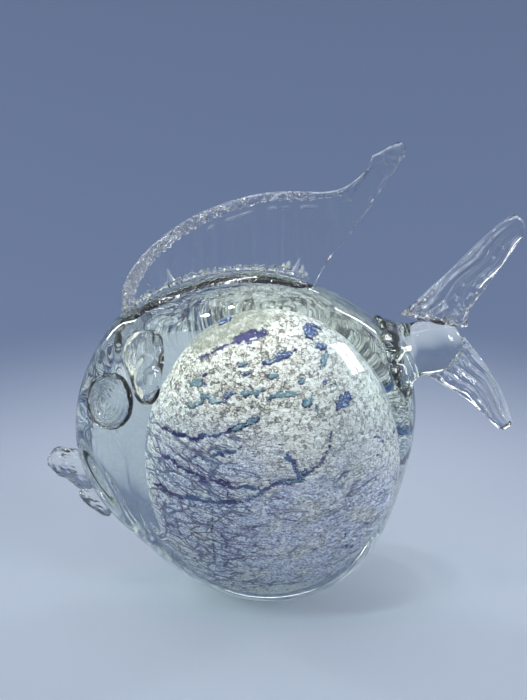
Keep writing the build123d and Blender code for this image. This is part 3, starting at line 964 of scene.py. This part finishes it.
# Eyes
# A flat round prunt of clear glass, dropped hot on each side of the head and pressed with a stamp
# that left its rings.
eye_seat = Vector((-49.06, -18.23, 74.46)) * MM
eye_way = Vector((-0.544, -0.805, 0.237)).normalized()
eye_rings = [(-2.4, 16.8), (0.6, 17.8), (1.6, 17.0), (2.1, 15.6)]
stamp_rings = [
    (1.1, 14.4), (3.0, 13.0), (1.2, 11.6), (3.1, 10.2), (1.2, 8.7), (3.1, 7.2), (1.3, 5.8),
    (3.0, 4.2), (1.6, 2.6), (2.6, 1.0),
]
for side, node in ((1, "left_eye"), (-1, "right_eye")):
    flip = Vector((1, side, 1))
    rings = round_rings(eye_rings + stamp_rings)
    eye = draw_out(node + "_prunt", eye_seat * flip, eye_way * flip, (0, 0, 1), rings)
    crinkle(eye, [(0.30 * MM, 1.8 * MM, 51 + side)])
    join_fish(eye, node)

# Pectoral fins
# A bit of clear glass let down on each flank behind the eye, that ran into folds and ended in a
# round drop.
drop_seat = Vector((-38.02, -12.56, 95.81)) * MM
drop_end = Vector((-36.24, -24.42, 75.34)) * MM
drop_out = Vector((-0.315, -0.833, 0.455)).normalized()
drop_stand = 2 * MM
drop_rings = [
    (0.8, 6, 3), (2.8, 11, 4.9), (5.0, 12.6, 5.5), (7.4, 13, 5.8), (11, 12, 6), (14.5, 10.6, 6.2),
    (18.0, 8.6, 6.8), (20.6, 7.8, 6.8), (22.4, 5.6, 5.2), (23.4, 2.8, 2.6),
]
for side, node in ((1, "left_pectoral_fin"), (-1, "right_pectoral_fin")):
    flip = Vector((1, side, 1))
    seat, end, out = drop_seat * flip, drop_end * flip, drop_out * flip
    way = (end - seat).normalized()
    drop = draw_out(node + "_drop", seat + out * drop_stand, way, out, drop_rings)
    crinkle(drop, [(1.0 * MM, 3.0 * MM, 61 + side)], stretch=(1, 1, 0.25))
    crinkle(drop, [(0.2 * MM, 1.6 * MM, 63 + side)], stretch=(1, 1, 0.5))
    join_fish(drop, node)

# Floor, backdrop and lamps
# A plain matt sweep, palest round the fish, one divided soft lamp from the upper right with small
# lamps about it, and a soft light from all round that is strongest overhead. The camera stands
# where the photograph's did.
floor_colour = (0.31, 0.355, 0.43, 1)
sweep_colour = (0.085, 0.12, 0.205, 1)
floor_fade = (0.07, 0.34)
floor_roughness = 0.9
sweep_half_width = 4.0
sweep_front = 4.0
sweep_depth = 0.9
sweep_lean = 0.35
sweep_rise = 1.5
sweep_bend = 0.5
bend_segments = 16
bpy.ops.object.select_all(action="DESELECT")
bpy.ops.mesh.primitive_plane_add(size=2)
floor = bpy.context.object
floor.name = "floor"
bpy.ops.object.mode_set(mode="EDIT")
bpy.ops.transform.resize(value=(sweep_half_width, (sweep_depth + sweep_front) / 2, 1))
bpy.ops.transform.translate(value=(0, (sweep_depth - sweep_front) / 2, 0))
bpy.ops.mesh.select_all(action="DESELECT")
bpy.ops.object.mode_set(mode="OBJECT")
for vertex in floor.data.vertices:
    vertex.select = vertex.co.y > 0
for edge in floor.data.edges:
    edge.select = all(floor.data.vertices[end].select for end in edge.vertices)
bpy.ops.object.mode_set(mode="EDIT")
bpy.ops.mesh.select_mode(type="EDGE")
bpy.ops.mesh.extrude_region_move(TRANSFORM_OT_translate={"value": (0, sweep_lean, sweep_rise)})
bpy.ops.mesh.select_mode(type="VERT")
bpy.ops.object.mode_set(mode="OBJECT")
bend = floor.modifiers.new("bend", "BEVEL")
bend.width = sweep_bend
bend.segments = bend_segments
bpy.ops.object.modifier_apply(modifier="bend")
bpy.ops.object.shade_smooth()
floor_finish, floor_shader, floor_place = finish("pale_floor")
floor_x, floor_y = floor_place.axes()[:2]
floor_reach = floor_place.math("SQRT", floor_x * floor_x + floor_y * floor_y)
feed(floor_shader, "Base Color", floor_reach.step(*floor_fade).tint(floor_colour, sweep_colour))
floor_shader.inputs["Roughness"].default_value = floor_roughness
floor.data.materials.append(floor_finish)

sky_low = (0.125, 0.155, 0.26, 1)
sky_high = (0.95, 1.0, 1.1, 1)
sky_fade = (0.0, 0.55)
sky_strength = 0.65
world = bpy.data.worlds.new("studio")
bpy.context.scene.world = world
world.use_nodes = True
sky_way = Glaze(world.node_tree, None).node("ShaderNodeTexCoord", out="Generated")
sky = sky_way.axes()[2].step(*sky_fade).tint(sky_low, sky_high)
feed(world.node_tree.nodes["Background"], "Color", sky)
world.node_tree.nodes["Background"].inputs["Strength"].default_value = sky_strength

# Each lamp's name, way from the fish, distance, width, height, power and sideways shift
aim = Vector((0, 0, 60)) * MM
window_way = (0.714, -0.443, 0.543)
lamps = (
    ("window_left", window_way, 1.0, 0.08, 0.34, 1.5, -0.052),
    ("window_right", window_way, 1.0, 0.09, 0.34, 1.7, 0.05),
    ("left_fill", (-0.9, -0.5, 0.5), 1.4, 0.3, 0.6, 2.0, 0),
    ("spot_one", (-0.406, -0.118, 0.906), 1.0, 0.06, 0.035, 1.7, 0),
    ("spot_two", (-0.249, -0.067, 0.966), 1.0, 0.06, 0.035, 1.7, 0),
    ("top_light", (-0.1, 0.35, 1.0), 1.3, 0.9, 0.6, 2.8, 0),
    ("edge_left", (-0.75, 0.6, 0.5), 1.2, 0.06, 0.8, 3.5, 0),
    ("edge_right", (0.8, 0.55, 0.5), 1.2, 0.06, 0.8, 3.5, 0),
    ("edge_top", (0.0, 0.75, 0.66), 1.2, 1.0, 0.06, 1.6, 0),
)
for name, way, distance, width, height, power, shift in lamps:
    lamp = bpy.data.lights.new(name, "AREA")
    lamp.shape = "RECTANGLE"
    lamp.size, lamp.size_y, lamp.energy = width, height, power
    holder = bpy.data.objects.new(name, lamp)
    bpy.context.scene.collection.objects.link(holder)
    turn = Vector(way).normalized().to_track_quat("Z", "Y")
    holder.rotation_euler = turn.to_euler()
    holder.location = aim + Vector(way).normalized() * distance + turn @ Vector((shift, 0, 0))

camera_elevation = radians(18)
camera_distance = 350 * MM
camera_target = Vector((-2.3, 0, 85)) * MM
camera_lens = 56.44
camera_near = 10 * MM
glass_bounces = 24
camera_data = bpy.data.cameras.new("camera")
camera = bpy.data.objects.new("camera", camera_data)
bpy.context.scene.collection.objects.link(camera)
camera_way = Vector((0, -cos(camera_elevation), sin(camera_elevation)))
camera.location = camera_target + camera_way * camera_distance
camera.rotation_euler = camera_way.to_track_quat("Z", "Y").to_euler()
camera_data.lens = camera_lens
camera_data.clip_start = camera_near
bpy.context.scene.camera = camera
bpy.context.scene.view_settings.view_transform = "Standard"
bpy.context.scene.cycles.transmission_bounces = glass_bounces
bpy.context.scene.cycles.transparent_max_bounces = glass_bounces
bpy.context.scene.cycles.max_bounces = glass_bounces
